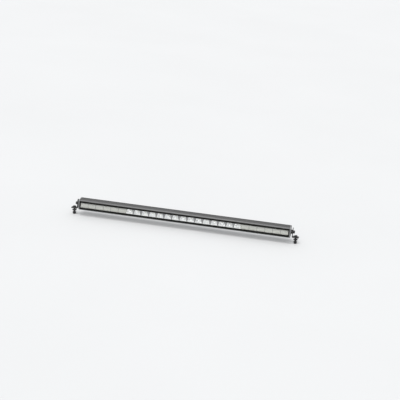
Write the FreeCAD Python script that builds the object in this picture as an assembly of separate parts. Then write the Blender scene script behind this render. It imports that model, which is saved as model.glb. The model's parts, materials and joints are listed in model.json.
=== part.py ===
import FreeCAD, Part
import math
import os

from FreeCAD import Vector

# LED light bar for a truck or trailer: one row of reflector cups in a slim extruded housing,
# closed by two cast end caps and hung on two bent steel brackets.
#
# Millimetres.  X runs along the bar, positive to the right of somebody who faces the lens.
# The lens looks along -Y and Z is up.  The origin lies on the plane that the two bracket feet
# stand on, midway between them.  The tilt axis is parallel to X, at y = 0 and z = pivot_height.
#
# The bar's own pieces are drawn about the tilt axis (y and z measured from it) and are lifted
# to pivot_height when they are written.  The brackets are drawn from the mounting plane.
# What is made for one end is drawn at the right-hand end and mirrored for the left.

# ---- driving dimensions: the bar's outside -------------------------------------------------------
bar_depth = 52.0
front_chamfer = 5.3
rear_chamfer = 7.0
edge_round = 0.5
pivot_height = 26.0

# ---- optics --------------------------------------------------------------------------------------
cell_pitch = 37.5
flood_cells = 6
spot_cells = 15
window_height = 23.0
septum = 1.2
cup_wall = 1.2
cup_hole_radius = 5.0
skirt_wall = 1.2
reflector_to_lens = 1.7
diffuser_thickness = 1.8
diffuser_groove_width = 1.2
diffuser_groove_depth = 0.5
module_gap = 0.3

# ---- lens, bezel and seal ------------------------------------------------------------------------
bezel_side_width = 4.0
bezel_band = 8.7
bezel_thickness = 1.5
bezel_window_corner = 2.0
bezel_outer_corner = 1.5
bezel_edge_chamfer = 0.5
tongue_thickness = 1.2
tongue_depth = 2.6
lens_overlap = 3.9
lens_thickness = 3.0
lens_step = 1.0
seal_thickness = 1.5
seal_width = 2.2

# ---- housing walls -------------------------------------------------------------------------------
side_wall = 3.0
ledge_thickness = 2.0
optic_chamber_depth = 20.0
web_thickness = 4.0
back_wall = 3.5
fin_pitch = 5.2
fin_thickness = 2.0
fin_slot_pairs = 4
top_groove_width = 1.2
top_groove_depth = 0.7
top_groove_count = 3
top_groove_pitch = 4.0
top_groove_first = 6.0
port_sink = 0.3
front_port_setback = 6.5

# ---- light sources and driver --------------------------------------------------------------------
board_thickness = 1.6
pad_thickness = 0.5
led_base = 3.5
led_base_height = 0.7
led_dome_radius = 1.5
board_screw_radius = 1.5
board_screw_head_radius = 2.75
board_screw_head_height = 2.0
board_screw_length = 8.0
driver_board_to_hole = 7.75
driver_board_length = 260.0
driver_board_height = 25.8
driver_headroom = 1.0
driver_rail_foot = 2.2
driver_rail_height = 5.7
driver_rail_grip = 1.3
driver_rail_wall = 1.4
inductor_places = (70.0, 190.0)
inductor_base = 12.5
inductor_base_height = 1.5
inductor_core_radius = 6.0
inductor_core_height = 5.0
capacitor_places = (32.0, 44.0, 216.0, 228.0)
capacitor_z = -4.0
capacitor_base = 8.3
capacitor_base_height = 1.2
capacitor_radius = 4.0
capacitor_height = 6.0
controller_place = (110.0, 0.0)
controller_size = (10.0, 6.5, 1.6)
transistor_places = ((140.0, 5.0), (140.0, -5.0), (160.0, 5.0), (160.0, -5.0))
transistor_size = (6.5, 6.0, 1.2)
terminal_length = 10.0
terminal_width = 12.0
terminal_height = 6.0
terminal_well_radius = 1.5
terminal_well_depth = 2.0
wire_radius = 0.8
wire_spacing = 3.0
wire_bend = 3.0
wire_end_bend = 2.4
wire_end_run = 4.8
wire_hole_radius = 4.2
grommet_wall = 1.1
grommet_flange = 0.8
grommet_lip = 1.6

# ---- end caps ------------------------------------------------------------------------------------
cap_length = 6.0
cap_front_setback = 0.5
cap_chamfer = 2.0
cap_hub_radius = 10.0
cap_hub_length = 5.45
cap_hub_chamfer = 0.8
end_gasket_thickness = 0.8
end_gasket_inset = 1.0
cap_boss_radius = 9.0
cap_boss_length = 3.5
cap_screw_radius = 2.0
cap_screw_length = 12.0
cap_screw_head_radius = 3.5
cap_screw_head_height = 4.0
insert_radius = 5.5
insert_length = 12.0

# ---- metric hardware, 8 mm -----------------------------------------------------------------------
bolt_radius = 4.0
hex_across_flats = 13.0
hex_head_height = 5.3
nut_height = 6.8
washer_radius = 8.5
washer_thickness = 1.6
spring_washer_radius = 7.2
spring_washer_thickness = 1.8
spring_washer_slot = 1.2
friction_washer_radius = 10.0
friction_washer_thickness = 1.2
pivot_bolt_length = 16.0
foot_bolt_length = 35.0
rubber_washer_radius = 10.0
rubber_washer_thickness = 3.0
rubber_washer_drop = 8.5

# ---- brackets ------------------------------------------------------------------------------------
plate_thickness = 3.0
plate_width = 24.0
plate_rise = 21.0
bend_radius = 2.0
foot_bolt_offset = 19.5
foot_end_margin = 14.5
foot_corner = 5.0

# ---- rear fittings -------------------------------------------------------------------------------
gland_from_driver = 36.0
gland_bore = 3.5
gland_thread_radius = 6.0
gland_collar_length = 4.0
gland_hex_flats = 17.0
gland_hex_height = 5.0
gland_nut_radius = 8.2
gland_nut_length = 10.5
gland_seal_radius = 5.0
gland_seal_length = 8.0
gland_pocket_radius = 13.0
vent_from_gland = 50.0
vent_stem_radius = 3.0
vent_head_radius = 5.5
vent_head_height = 3.0
vent_bore = 1.0
vent_pocket_radius = 8.5

# ---- clearances ----------------------------------------------------------------------------------
slide_clearance = 0.3
thread_clearance = 0.05
fit_clearance = 0.1

# ---- places that follow from the sizes above -----------------------------------------------------
window_length = (2 * flood_cells + spot_cells) * cell_pitch
housing_half = window_length / 2 + bezel_side_width
face_half = window_height / 2 + bezel_band
half_height = face_half + front_chamfer
bezel_front = -bar_depth / 2
housing_front = bezel_front + bezel_thickness
lens_back = housing_front + lens_thickness
ledge_front = lens_back + seal_thickness
chamber_front = ledge_front + ledge_thickness
web_front = chamber_front + optic_chamber_depth
web_back = web_front + web_thickness
driver_front = web_back + driver_rail_foot
driver_rear = driver_front + board_thickness
driver_tallest = capacitor_base_height + capacitor_height
driver_chamber_depth = driver_rear - web_back + driver_tallest + driver_headroom
driver_back = web_back + driver_chamber_depth
fin_root = driver_back + back_wall
fin_tip = bar_depth / 2
chamber_half = half_height - side_wall
lens_half = window_height / 2 + lens_overlap
pocket_half = lens_half + slide_clearance
reflector_half = window_height / 2 + skirt_wall
ledge_half = reflector_half + slide_clearance
port_radius = (chamber_half + port_sink - ledge_half) / 2
port_height = ledge_half + port_radius
front_port_depth = chamber_front + front_port_setback
rear_port_depth = (web_back + driver_back) / 2
board_half = reflector_half - slide_clearance
board_front = web_front - pad_thickness - board_thickness
reflector_front = lens_back + reflector_to_lens
flood_front = reflector_front + diffuser_thickness
spot_half_length = spot_cells * cell_pitch / 2
flood_length = flood_cells * cell_pitch
gasket_start = housing_half
cap_start = gasket_start + end_gasket_thickness
cap_face = cap_start + cap_length
hub_face = cap_face + cap_hub_length
plate_inner = hub_face + friction_washer_thickness
plate_outer = plate_inner + plate_thickness
foot_bolt_x = hub_face + foot_bolt_offset
foot_end = foot_bolt_x + foot_end_margin
bracket_hole_radius = bolt_radius + fit_clearance
wire_hole_x = -spot_half_length + cell_pitch
driver_board_left = wire_hole_x + driver_board_to_hole
gland_x = driver_board_left + driver_board_length + gland_from_driver
vent_x = gland_x + vent_from_gland
far = 2 * bar_depth


# ---- shape helpers -------------------------------------------------------------------------------
def slab(x_range, y_range, z_range):
    """A box between two values along each axis."""
    size = [high - low for low, high in (x_range, y_range, z_range)]
    return Part.makeBox(*size, Vector(x_range[0], y_range[0], z_range[0]))


def prism(outline, x_low, x_high):
    """A (y, z) outline drawn at x_low and pushed along X."""
    points = [Vector(x_low, y, z) for y, z in outline]
    face = Part.Face(Part.makePolygon(points + points[:1]))
    return face.extrude(Vector(x_high - x_low, 0, 0))


def rod_x(radius, x_low, x_high, y=0.0, z=0.0):
    return Part.makeCylinder(radius, x_high - x_low, Vector(x_low, y, z), Vector(1, 0, 0))


def rod_y(radius, y_low, y_high, x=0.0, z=0.0):
    return Part.makeCylinder(radius, y_high - y_low, Vector(x, y_low, z), Vector(0, 1, 0))


def rod_z(radius, z_low, z_high, x=0.0, y=0.0):
    return Part.makeCylinder(radius, z_high - z_low, Vector(x, y, z_low), Vector(0, 0, 1))


def hexagon(across_flats, length):
    """A six-sided prism standing on the XY plane, with its flats' corners eased."""
    corner = across_flats / math.sqrt(3)
    points = [
        Vector(corner * math.cos(math.radians(60 * i)), corner * math.sin(math.radians(60 * i)), 0)
        for i in range(7)
    ]
    blank = Part.Face(Part.makePolygon(points)).extrude(Vector(0, 0, length))
    ease = (corner - across_flats / 2) * 0.9
    cone_low = Part.makeCone(corner - ease, corner + length, length + ease)
    cone_high = cone_low.mirror(Vector(0, 0, length / 2), Vector(0, 0, 1))
    return blank.common(cone_low).common(cone_high)


def stand_along_x(shape, x, y=0.0, z=0.0):
    """Turn what was drawn up the Z axis to run along +X, and put its foot at a point."""
    turned = shape.copy()
    turned.rotate(Vector(0, 0, 0), Vector(0, 1, 0), 90)
    turned.translate(Vector(x, y, z))
    return turned


def stand_along_y(shape, y, x=0.0, z=0.0):
    """Turn what was drawn up the Z axis to run along +Y, and put its foot at a point."""
    turned = shape.copy()
    turned.rotate(Vector(0, 0, 0), Vector(1, 0, 0), -90)
    turned.translate(Vector(x, y, z))
    return turned


def moved(shape, x=0.0, y=0.0, z=0.0):
    placed = shape.copy()
    placed.translate(Vector(x, y, z))
    return placed


def ring(outer_radius, inner_radius, thickness):
    """A flat washer standing on the XY plane."""
    return rod_z(outer_radius, 0, thickness).cut(rod_z(inner_radius, 0, thickness))


def both(low, high):
    """The range low..high above the middle, and its mirror image below."""
    return ((low, high), (-high, -low))


def mirrored(shape):
    return shape.mirror(Vector(0, 0, 0), Vector(1, 0, 0))


def long_edges(shape, length):
    """The straight edges along X that run the whole length of a prism."""
    return [
        edge
        for edge in shape.Edges
        if abs(edge.BoundBox.XLength - length) < 0.01 and edge.BoundBox.YLength < 0.01
    ]


def bar_outline(front, face_half_height, inset=0.0):
    """The bar's eight-sided section, with its front face at a given depth."""
    rear = fin_tip - inset
    top = half_height - inset
    front_corner = housing_front + front_chamfer
    rear_corner = fin_tip - rear_chamfer
    upper = [
        (front + inset, face_half_height - inset),
        (front_corner, top),
        (rear_corner, top),
        (rear, top - rear_chamfer),
    ]
    return upper + [(y, -z) for y, z in reversed(upper)]


# ---- housing -------------------------------------------------------------------------------------
def screw_port(depth, sign):
    """A full-length screw port with the web that ties it to the nearer wall."""
    tube = rod_x(port_radius, -housing_half, housing_half, depth, sign * port_height)
    low, high = sorted((sign * port_height, sign * (chamber_half + side_wall / 2)))
    tie = slab(
        (-housing_half, housing_half),
        (depth - port_radius * 0.6, depth + port_radius * 0.6),
        (low, high),
    )
    return tube.fuse(tie)


def housing_extrusion():
    span = (-housing_half, housing_half)
    body = prism(bar_outline(housing_front, face_half), *span)
    body = body.makeFillet(edge_round, long_edges(body, 2 * housing_half))
    lens_pocket = slab(span, (housing_front - 1, ledge_front), (-pocket_half, pocket_half))
    ledge_opening = slab(span, (ledge_front - 1, chamber_front + 1), (-ledge_half, ledge_half))
    optic_chamber = slab(span, (chamber_front, web_front), (-chamber_half, chamber_half))
    driver_chamber = slab(span, (web_back, driver_back), (-chamber_half, chamber_half))
    body = body.cut([lens_pocket, ledge_opening, optic_chamber, driver_chamber])

    ports = [
        screw_port(depth, sign)
        for depth in (front_port_depth, rear_port_depth)
        for sign in (-1, 1)
    ]
    groove_half = driver_board_height / 2 + slide_clearance
    rail_inner = driver_board_height / 2 - driver_rail_grip
    rails = [
        slab(span, (web_back, web_back + driver_rail_height), z_range)
        for z_range in both(rail_inner, groove_half + driver_rail_wall)
    ]
    body = body.fuse(ports + rails)

    cuts = []
    for depth in (front_port_depth, rear_port_depth):
        for sign in (-1, 1):
            hole_radius = cap_screw_radius + thread_clearance
            cuts.append(rod_x(hole_radius, *span, depth, sign * port_height))
    groove_front = web_back + driver_rail_foot - fit_clearance
    groove_back = web_back + driver_rail_foot + board_thickness + fit_clearance
    cuts.append(slab(span, (groove_front, groove_back), (-groove_half, groove_half)))
    tongue_mid = (pocket_half + face_half) / 2
    groove_wide = tongue_thickness / 2 + fit_clearance
    for z_range in both(tongue_mid - groove_wide, tongue_mid + groove_wide):
        groove_floor = housing_front + tongue_depth + fit_clearance
        cuts.append(slab(span, (housing_front - 1, groove_floor), z_range))
    slot_half = (fin_pitch - fin_thickness) / 2
    for index in range(fin_slot_pairs):
        middle = (index + 0.5) * fin_pitch
        for z_range in both(middle - slot_half, middle + slot_half):
            cuts.append(slab(span, (fin_root, far), z_range))
    for index in range(top_groove_count):
        start = top_groove_first + index * top_groove_pitch
        for z_range in both(half_height - top_groove_depth, half_height + 1):
            cuts.append(slab(span, (start, start + top_groove_width), z_range))
    body = body.cut(cuts)

    machined = [
        rod_y(gland_thread_radius + thread_clearance, driver_back - 1, far, gland_x),
        rod_y(gland_pocket_radius, fin_root, far, gland_x),
        rod_y(vent_stem_radius + thread_clearance, driver_back - 1, far, vent_x),
        rod_y(vent_pocket_radius, fin_root, far, vent_x),
        rod_y(wire_hole_radius, web_front - 1, web_back + 1, wire_hole_x),
    ]
    boss_room = cap_boss_radius + slide_clearance
    boss_depth = cap_boss_length + slide_clearance
    for x_low in (-housing_half, housing_half - boss_depth):
        machined.append(rod_x(boss_room, x_low, x_low + boss_depth))
    for x in board_screw_places():
        hole_radius = board_screw_radius + thread_clearance
        machined.append(rod_y(hole_radius, web_front - 1, web_back + 1, x))
    return body.cut(machined)


# ---- lens and bezel ------------------------------------------------------------------------------
def rounded_frame_blank(length, height, corner, y_low, y_high):
    blank = slab((-length / 2, length / 2), (y_low, y_high), (-height / 2, height / 2))
    corners = [edge for edge in blank.Edges if edge.BoundBox.YLength > (y_high - y_low) * 0.99]
    return blank.makeFillet(corner, corners)


def front_bezel():
    plate = rounded_frame_blank(
        2 * housing_half, 2 * face_half, bezel_outer_corner, bezel_front, housing_front
    )
    window = rounded_frame_blank(
        window_length, window_height, bezel_window_corner, bezel_front - 1, housing_front + 1
    )
    frame = plate.cut(window)
    front_edges = [edge for edge in frame.Edges if edge.BoundBox.YMax < bezel_front + 0.01]
    frame = frame.makeChamfer(bezel_edge_chamfer, front_edges)
    tongue_mid = (pocket_half + face_half) / 2
    half_length = housing_half - slide_clearance
    tongues = [
        slab((-half_length, half_length), (housing_front, housing_front + tongue_depth), z_range)
        for z_range in both(tongue_mid - tongue_thickness / 2, tongue_mid + tongue_thickness / 2)
    ]
    return frame.fuse(tongues)


def outer_lens():
    length = 2 * (housing_half - slide_clearance)
    sheet = slab((-length / 2, length / 2), (housing_front, lens_back), (-lens_half, lens_half))
    step = rounded_frame_blank(
        window_length - 2 * slide_clearance,
        window_height - 2 * slide_clearance,
        bezel_window_corner - slide_clearance,
        housing_front - lens_step,
        housing_front + 1,
    )
    return sheet.fuse(step).removeSplitter()


def lens_seal_strips():
    half_length = housing_half - slide_clearance
    inner = (ledge_half + pocket_half - seal_width) / 2
    strips = [
        slab((-half_length, half_length), (lens_back, ledge_front), z_range)
        for z_range in both(inner, inner + seal_width)
    ]
    return Part.makeCompound(strips)


# ---- reflectors ----------------------------------------------------------------------------------
def cup_solid(x, front, wall):
    """A paraboloid about a cell's axis, grown by a wall, from the board to the front plane."""
    mouth = math.hypot(cell_pitch / 2, window_height / 2)
    small, large = cup_hole_radius + wall, mouth + wall
    depth = board_front - front
    steepness = depth / (mouth**2 - cup_hole_radius**2)
    bend = board_front - 2 * steepness * cup_hole_radius * (large - small) / 2
    curve = Part.BezierCurve()
    curve.setPoles([Vector(small, board_front, 0), Vector((small + large) / 2, bend, 0),
                    Vector(large, front, 0)])
    axis_foot, axis_top = Vector(0, board_front, 0), Vector(0, front, 0)
    wire = Part.Wire([
        Part.makeLine(axis_foot, Vector(small, board_front, 0)),
        curve.toShape(),
        Part.makeLine(Vector(large, front, 0), axis_top),
        Part.makeLine(axis_top, axis_foot),
    ])
    return moved(Part.Face(wire).revolve(Vector(0, 0, 0), Vector(0, 1, 0), 360), x)


def reflector(cell_count, middle, front):
    """A row of cups with square mouths, and the two skirts that stand on the board."""
    centres = [middle + (i - (cell_count - 1) / 2) * cell_pitch for i in range(cell_count)]
    half_length = cell_count * cell_pitch / 2 - module_gap / 2
    span = (middle - half_length, middle + half_length)
    half_mouth = window_height / 2
    walls = [
        slab(span, (front, board_front), z_range) for z_range in both(half_mouth, reflector_half)
    ]
    cavities = []
    for x in centres:
        cell = slab(
            (max(span[0], x - cell_pitch / 2), min(span[1], x + cell_pitch / 2)),
            (front, board_front),
            (-reflector_half, reflector_half),
        )
        walls.append(cup_solid(x, front, cup_wall).common(cell))
        half_width = (cell_pitch - septum) / 2
        mouth = slab(
            (x - half_width, x + half_width), (front - 1, board_front + 1),
            (-half_mouth, half_mouth),
        )
        cavities.append(cup_solid(x, front, 0.0).common(mouth))
    return walls[0].fuse(walls[1:]).cut(cavities)


def diffuser(middle):
    """A frosted sheet over the flood cups, grooved where one cell ends and the next begins."""
    half_length = flood_length / 2 - module_gap / 2
    sheet = slab(
        (middle - half_length, middle + half_length),
        (reflector_front, flood_front),
        (-reflector_half, reflector_half),
    )
    grooves = []
    for index in range(1, flood_cells):
        x = middle - flood_length / 2 + index * cell_pitch
        grooves.append(slab(
            (x - diffuser_groove_width / 2, x + diffuser_groove_width / 2),
            (reflector_front - 1, reflector_front + diffuser_groove_depth),
            (-reflector_half, reflector_half),
        ))
    return sheet.cut(grooves)


# ---- light-emitting boards -----------------------------------------------------------------------
def board_screw_places():
    """Screws stand between cups: two in each flood group and four in the spot group."""
    flood_start = spot_half_length + cell_pitch
    flood_end = spot_half_length + flood_length - cell_pitch
    right = [cell_pitch * 2.5, spot_half_length - 2 * cell_pitch, flood_start, flood_end]
    return sorted([-x for x in right] + right)


def board_span(cell_count, middle):
    half_length = cell_count * cell_pitch / 2 - module_gap / 2
    return middle - half_length, middle + half_length


def board_holes(span, y_low, y_high):
    """The screw and wire holes that fall within one board."""
    holes = [
        rod_y(board_screw_radius + fit_clearance, y_low, y_high, x)
        for x in board_screw_places()
        if span[0] < x < span[1]
    ]
    if span[0] < wire_hole_x < span[1]:
        holes.append(rod_y(wire_hole_radius, y_low, y_high, wire_hole_x))
    return holes


def led_board(cell_count, middle):
    span = board_span(cell_count, middle)
    y_range = (board_front, board_front + board_thickness)
    sheet = slab(span, y_range, (-board_half, board_half))
    return sheet.cut(board_holes(span, board_front - 1, web_front))


def thermal_pad(cell_count, middle):
    span = board_span(cell_count, middle)
    y_range = (web_front - pad_thickness, web_front)
    sheet = slab(span, y_range, (-board_half, board_half))
    return sheet.cut(board_holes(span, board_front, web_front + 1))


def leds(cell_count, middle):
    """One emitter at each cup's axis: a square base with a clear dome."""
    emitters = []
    for index in range(cell_count):
        x = middle + (index - (cell_count - 1) / 2) * cell_pitch
        half = led_base / 2
        base = slab(
            (x - half, x + half), (board_front - led_base_height, board_front), (-half, half)
        )
        dome_middle = Vector(x, board_front - led_base_height, 0)
        dome = Part.makeSphere(led_dome_radius, dome_middle)
        above = slab((x - half, x + half), (board_front - 5, dome_middle.y), (-half, half))
        emitters.append(base.fuse(dome.common(above)))
    return Part.makeCompound(emitters)


def board_screws():
    screws = []
    for x in board_screw_places():
        head = rod_y(board_screw_head_radius, board_front - board_screw_head_height, board_front, x)
        shank_end = board_front + board_screw_length
        shank = rod_y(board_screw_radius, board_front, min(shank_end, web_back), x)
        drive = hexagon(2.0, board_screw_head_height)
        socket = stand_along_y(drive, board_front - 1.6 * board_screw_head_height, x)
        screws.append(head.fuse(shank).cut(socket))
    return Part.makeCompound(screws)


# ---- driver --------------------------------------------------------------------------------------
def on_driver(x, z, length, width, height):
    """A block standing on the driver board, x measured from the board's left end."""
    middle = driver_board_left + x
    return slab(
        (middle - length / 2, middle + length / 2),
        (driver_rear, driver_rear + height),
        (z - width / 2, z + width / 2),
    )


def driver_board():
    right = driver_board_left + driver_board_length
    half = driver_board_height / 2
    return slab((driver_board_left, right), (driver_front, driver_rear), (-half, half))


def upright_can(x, z, base, base_height, radius, height):
    """A round component on its own square foot."""
    foot = on_driver(x, z, base, base, base_height)
    low = driver_rear + base_height
    return foot.fuse(rod_y(radius, low, low + height, driver_board_left + x, z))


def driver_inductors():
    """Two shielded power inductors: a square base with a round ferrite core."""
    coils = [
        upright_can(x, 0.0, inductor_base, inductor_base_height,
                    inductor_core_radius, inductor_core_height)
        for x in inductor_places
    ]
    return Part.makeCompound(coils)


def driver_capacitors():
    """Four electrolytic cans standing on square feet."""
    cans = [
        upright_can(x, capacitor_z, capacitor_base, capacitor_base_height,
                    capacitor_radius, capacitor_height)
        for x in capacitor_places
    ]
    return Part.makeCompound(cans)


def driver_chips():
    """The controller and the switching transistors, flat on the board."""
    chips = [on_driver(*controller_place, *controller_size)]
    chips += [on_driver(*place, *transistor_size) for place in transistor_places]
    return Part.makeCompound(chips)


def driver_terminal():
    """A two-pole block at the board's left end, with its two clamping screws' wells."""
    block = on_driver(terminal_length / 2, 0, terminal_length, terminal_width, terminal_height)
    middle = driver_board_left + terminal_length / 2
    rear = driver_rear + terminal_height
    wells = [
        rod_y(terminal_well_radius, rear - terminal_well_depth, rear + 1, middle, z)
        for z in (-terminal_width / 4, terminal_width / 4)
    ]
    return block.cut(wells)


def jumper_wire(sign):
    """A wire from the terminal, through the web's grommet, to a pad on the middle board."""
    z = sign * wire_spacing / 2
    start_y = driver_rear + terminal_height / 2
    lie_y = board_front - wire_radius
    turn = wire_bend * (1 - math.sqrt(0.5))
    end_turn = wire_end_bend * (1 - math.sqrt(0.5))
    hole_x = wire_hole_x
    start = Vector(driver_board_left, start_y, z)
    bend_in = Vector(hole_x + wire_bend, start_y, z)
    bend_mid = Vector(hole_x + turn, start_y - turn, z)
    bend_out = Vector(hole_x, start_y - wire_bend, z)
    through = Vector(hole_x, lie_y + wire_end_bend, z)
    lay_mid = Vector(hole_x + end_turn, lie_y + end_turn, z)
    laid = Vector(hole_x + wire_end_bend, lie_y, z)
    end = Vector(hole_x + wire_end_bend + wire_end_run, lie_y, z)
    path = Part.Wire([
        Part.makeLine(start, bend_in),
        Part.Arc(bend_in, bend_mid, bend_out).toShape(),
        Part.makeLine(bend_out, through),
        Part.Arc(through, lay_mid, laid).toShape(),
        Part.makeLine(laid, end),
    ])
    section = Part.Wire(Part.makeCircle(wire_radius, start, Vector(1, 0, 0)))
    return path.makePipeShell([section], True, False)


def web_grommet():
    inner = wire_hole_radius - grommet_wall
    sleeve = rod_y(wire_hole_radius - thread_clearance, web_front, web_back, wire_hole_x)
    lip_radius = wire_hole_radius + grommet_lip
    flange = rod_y(lip_radius, web_back, web_back + grommet_flange, wire_hole_x)
    bore = rod_y(inner, web_front - 1, web_back + 2, wire_hole_x)
    return sleeve.fuse(flange).cut(bore)


# ---- end caps ------------------------------------------------------------------------------------
def cap_screw_places():
    return [
        (depth, sign * port_height)
        for depth in (front_port_depth, rear_port_depth)
        for sign in (-1, 1)
    ]


def end_cap():
    front = bezel_front + cap_front_setback
    body = prism(bar_outline(front, face_half), cap_start, cap_face)
    rim = [edge for edge in body.Edges if edge.BoundBox.XMin > cap_face - 0.01]
    body = body.makeChamfer(cap_chamfer, rim)
    boss = rod_x(cap_boss_radius, cap_start - cap_boss_length, cap_start)
    hub = rod_x(cap_hub_radius, cap_face, hub_face)
    hub_rim = [edge for edge in hub.Edges if edge.BoundBox.XMin > hub_face - 0.01]
    hub = hub.makeChamfer(cap_hub_chamfer, hub_rim)
    body = body.fuse([boss, hub])
    cuts = [rod_x(insert_radius, hub_face - insert_length, hub_face + 1)]
    for y, z in cap_screw_places():
        head_seat = cap_face - cap_screw_head_height - fit_clearance
        cuts.append(rod_x(cap_screw_radius + fit_clearance, cap_start - 1, cap_face + 1, y, z))
        cuts.append(rod_x(cap_screw_head_radius + fit_clearance, head_seat, cap_face + 1, y, z))
    return body.cut(cuts)


def end_gasket():
    outline = bar_outline(housing_front, face_half, end_gasket_inset)
    sheet = prism(outline, gasket_start, cap_start)
    cuts = [rod_x(cap_boss_radius + fit_clearance, gasket_start - 1, cap_start + 1)]
    for y, z in cap_screw_places():
        cuts.append(rod_x(cap_screw_radius + fit_clearance, gasket_start - 1, cap_start + 1, y, z))
    return sheet.cut(cuts)


def cap_screws():
    """Four socket screws, their heads sunk flush in the cap."""
    screws = []
    for y, z in cap_screw_places():
        seat = cap_face - cap_screw_head_height - fit_clearance
        head = rod_x(cap_screw_head_radius, seat, seat + cap_screw_head_height, y, z)
        shank = rod_x(cap_screw_radius, seat - cap_screw_length, seat, y, z)
        socket = stand_along_x(hexagon(3.0, 4.0), seat + cap_screw_head_height - 2.2, y, z)
        screws.append(head.fuse(shank).cut(socket))
    return Part.makeCompound(screws)


def pivot_insert():
    """A steel sleeve threaded for the pivot bolt, set in the cap's hub."""
    bore = bolt_radius + thread_clearance
    inner_end = hub_face - insert_length
    outer = rod_x(insert_radius - thread_clearance, inner_end, hub_face)
    return outer.cut(rod_x(bore, inner_end + 1, hub_face + 1))


# ---- pivot hardware ------------------------------------------------------------------------------
def split_washer(radius, thickness):
    """A spring washer: a ring with one slanting cut."""
    washer = ring(radius, bolt_radius + fit_clearance, thickness)
    reach = 2 * radius
    cut = Part.makeBox(spring_washer_slot, reach, 4 * thickness,
                       Vector(-spring_washer_slot / 2, 0, -1.5 * thickness))
    cut.rotate(Vector(0, 0, thickness / 2), Vector(0, 1, 0), 25)
    return washer.cut(cut)


def hex_bolt(length):
    """A hexagon bolt standing on its head's underside, the shank hanging below."""
    head = hexagon(hex_across_flats, hex_head_height)
    tip = 1.0
    shank = rod_z(bolt_radius, tip - length, 0)
    point = Part.makeCone(bolt_radius - tip * 0.8, bolt_radius, tip, Vector(0, 0, -length))
    return head.fuse([shank, point])


pivot_washer_start = plate_outer
pivot_spring_start = pivot_washer_start + washer_thickness
pivot_head_start = pivot_spring_start + spring_washer_thickness


def friction_washer():
    hole = bolt_radius + fit_clearance
    washer = ring(friction_washer_radius, hole, friction_washer_thickness)
    return stand_along_x(washer, hub_face)


def pivot_washer():
    washer = ring(washer_radius, bolt_radius + fit_clearance, washer_thickness)
    return stand_along_x(washer, pivot_washer_start)


def pivot_spring_washer():
    return stand_along_x(split_washer(spring_washer_radius, spring_washer_thickness),
                         pivot_spring_start)


def pivot_bolt():
    return stand_along_x(hex_bolt(pivot_bolt_length), pivot_head_start)


# ---- brackets ------------------------------------------------------------------------------------
def bracket():
    """A bent strip: an upright plate beside the cap, and a foot that points outward."""
    half = plate_width / 2
    top = pivot_height + plate_rise
    outer_bend = bend_radius + plate_thickness
    upright = slab(
        (plate_inner, plate_outer), (-half, half), (outer_bend, top - half)
    )
    crown = rod_x(half, plate_inner, plate_outer, 0, top - half)
    middle = Vector(plate_inner + outer_bend, -half, outer_bend)
    turn = Part.makeCylinder(outer_bend, plate_width, middle, Vector(0, 1, 0))
    hollow = Part.makeCylinder(bend_radius, plate_width, middle, Vector(0, 1, 0))
    corner = slab((plate_inner, middle.x), (-half, half), (0, outer_bend))
    bend = turn.cut(hollow).common(corner)
    foot = slab((middle.x, foot_end), (-half, half), (0, plate_thickness))
    tips = [
        edge for edge in foot.Edges
        if edge.BoundBox.XMin > foot_end - 0.01 and edge.BoundBox.ZLength > 0.1
    ]
    foot = foot.makeFillet(foot_corner, tips)
    strip = upright.fuse([crown, bend, foot]).removeSplitter()
    pivot_hole = rod_x(bracket_hole_radius, plate_inner - 1, plate_outer + 1, 0, pivot_height)
    foot_hole = rod_z(bracket_hole_radius, -1, plate_thickness + 1, foot_bolt_x)
    return strip.cut([pivot_hole, foot_hole])


# ---- foot hardware, drawn about the foot bolt's axis with z = 0 at the mounting plane ------------
foot_head_base = plate_thickness + washer_thickness
foot_tip = foot_head_base - foot_bolt_length
nut_base = foot_tip + 1.0
nut_top = nut_base + nut_height
lower_washer_base = nut_top + spring_washer_thickness


def foot_bolt():
    return moved(hex_bolt(foot_bolt_length), foot_bolt_x, 0, foot_head_base)


def foot_washers():
    """The flat washers: one under the head and one above the nut."""
    washer = ring(washer_radius, bolt_radius + fit_clearance, washer_thickness)
    upper = moved(washer, foot_bolt_x, 0, plate_thickness)
    lower = moved(washer, foot_bolt_x, 0, lower_washer_base)
    return Part.makeCompound([upper, lower])


def foot_rubber_washer():
    """An isolating washer that grips the shank until the bolt is fitted to a vehicle."""
    washer = ring(rubber_washer_radius, bolt_radius + thread_clearance, rubber_washer_thickness)
    base = -rubber_washer_drop - rubber_washer_thickness
    return moved(washer, foot_bolt_x, 0, base)


def foot_spring_washer():
    washer = split_washer(spring_washer_radius, spring_washer_thickness)
    return moved(washer, foot_bolt_x, 0, nut_top)


def foot_nut():
    blank = hexagon(hex_across_flats, nut_height)
    bore = rod_z(bolt_radius + thread_clearance, -1, nut_height + 1)
    return moved(blank.cut(bore), foot_bolt_x, 0, nut_base)


# ---- rear fittings -------------------------------------------------------------------------------
gland_hex_end = fin_root + gland_hex_height
gland_collar_end = gland_hex_end + gland_collar_length
gland_nut_start = gland_hex_end + slide_clearance
gland_nut_end = gland_nut_start + gland_nut_length
gland_collar_radius = gland_thread_radius + 0.5
gland_seal_start = gland_hex_end + 1.0


def cable_gland_body():
    """The gland's screwed half: stem through the back wall, hexagon, and collar."""
    stem_start = driver_back - 1.0
    stem = rod_y(gland_thread_radius, stem_start, fin_root, gland_x)
    flats = stand_along_y(hexagon(gland_hex_flats, gland_hex_height), fin_root, gland_x)
    collar = rod_y(gland_collar_radius, gland_hex_end, gland_collar_end, gland_x)
    bore = rod_y(gland_bore, stem_start - 1, far, gland_x)
    seat = rod_y(gland_seal_radius + fit_clearance, gland_seal_start, far, gland_x)
    return stem.fuse([flats, collar]).cut([bore, seat])


def cable_gland_seal():
    end = gland_seal_start + gland_seal_length
    tube = rod_y(gland_seal_radius, gland_seal_start, end, gland_x)
    return tube.cut(rod_y(gland_bore, gland_seal_start - 1, end + 1, gland_x))


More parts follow.
